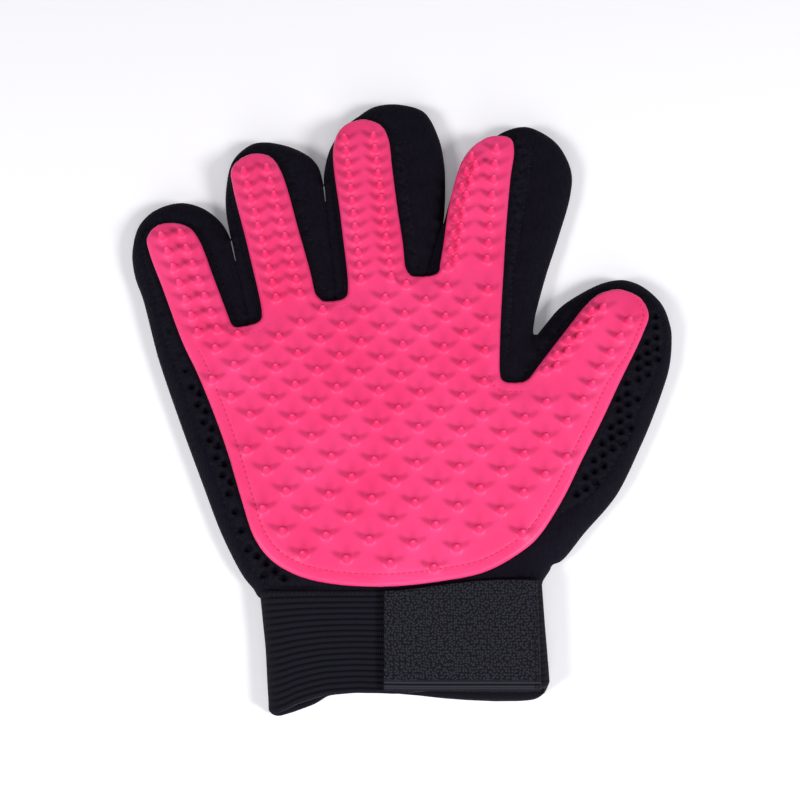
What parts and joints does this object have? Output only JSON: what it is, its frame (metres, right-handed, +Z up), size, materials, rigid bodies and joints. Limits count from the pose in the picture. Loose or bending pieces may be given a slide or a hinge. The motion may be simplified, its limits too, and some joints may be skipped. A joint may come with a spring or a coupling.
{
  "type": "grooming glove",
  "caption": "Five-finger pet grooming glove lying palm up: pink silicone brush pad with nubs, black mesh and knit body, elastic cuff closed by a hook tape tab.",
  "frame": {"origin": "middle of the glove's box, at the underside of the back panels it lies on", "axes": "+X to the thumb's side, +Y to the fingertips, +Z up, out of the brush pad"},
  "size_m": [0.2049, 0.2376, 0.018],
  "materials": {
    "silicone": "satin moulded silicone, bright pink",
    "air_mesh": "black 3-D air mesh with small round holes",
    "knit": "black fine-rib stretch knit, smooth",
    "elastic": "black ribbed woven elastic",
    "loop_pile": "black loop pile",
    "hook_tape": "dark grey woven tape with small bright specks",
    "hooks": "field of small nylon hooks",
    "pad_thread": "dark pink sewing thread",
    "black_thread": "black sewing thread"
  },
  "bodies": {
    "hand": {"brush_pad_palm": "silicone", "back_panel_hand": "air_mesh", "palm_panel": "air_mesh", "side_wall_little": "knit", "side_wall_thumb": "knit", "side_wall_index": "knit", "web_little_ring": "knit", "web_ring_middle": "knit", "web_middle_index": "knit", "cuff_band": "elastic", "loop_patch": "loop_pile", "tab_sewn_end": "hook_tape", "pad_thread_palm": "pad_thread", "cuff_seam_thread": "black_thread", "tab_thread": "black_thread"},
    "little_finger": {"back_panel_little": "air_mesh", "gusset_little": "knit", "front_panel_little": "air_mesh", "brush_strip_little": "silicone", "strip_thread_little": "pad_thread"},
    "ring_finger": {"back_panel_ring": "air_mesh", "gusset_ring": "knit", "front_panel_ring": "air_mesh", "brush_strip_ring": "silicone", "strip_thread_ring": "pad_thread"},
    "middle_finger": {"back_panel_middle": "air_mesh", "gusset_middle": "knit", "front_panel_middle": "air_mesh", "brush_strip_middle": "silicone", "strip_thread_middle": "pad_thread"},
    "index_finger": {"back_panel_index": "air_mesh", "gusset_index": "knit", "front_panel_index": "air_mesh", "brush_strip_index": "silicone", "strip_thread_index": "pad_thread"},
    "thumb": {"back_panel_thumb": "air_mesh", "gusset_thumb": "knit", "front_panel_thumb": "air_mesh", "brush_strip_thumb": "silicone", "strip_thread_thumb": "pad_thread"},
    "tab": {"hook_tab": "hook_tape", "hook_field": "hooks"}
  },
  "joints": [
    {"name": "little_bend", "type": "hinge", "parent": "hand", "child": "little_finger", "pos_m": [-0.0708, 0.0162, 0.0132], "axis": [0.9285, 0.3714, 0], "range_deg": [0, 65], "stiffness_Nm_per_rad": 0.02},
    {"name": "ring_bend", "type": "hinge", "parent": "hand", "child": "ring_finger", "pos_m": [-0.041, 0.0275, 0.0132], "axis": [0.9664, 0.2571, 0], "range_deg": [0, 65], "stiffness_Nm_per_rad": 0.02},
    {"name": "middle_bend", "type": "hinge", "parent": "hand", "child": "middle_finger", "pos_m": [-0.0083, 0.0377, 0.0132], "axis": [0.9932, 0.1167, 0], "range_deg": [0, 65], "stiffness_Nm_per_rad": 0.02},
    {"name": "index_bend", "type": "hinge", "parent": "hand", "child": "index_finger", "pos_m": [0.0269, 0.04, 0.0132], "axis": [0.9954, -0.0958, 0], "range_deg": [0, 65], "stiffness_Nm_per_rad": 0.02},
    {"name": "thumb_bend", "type": "hinge", "parent": "hand", "child": "thumb", "pos_m": [0.0682, 0.005, 0.0132], "axis": [0.8572, -0.515, 0], "range_deg": [0, 50], "stiffness_Nm_per_rad": 0.02},
    {"name": "tab_peel", "type": "hinge", "parent": "hand", "child": "tab", "pos_m": [0.04415, -0.0955, 0.0132], "axis": [0, 1, 0], "range_deg": [0, 150]}
  ]
}
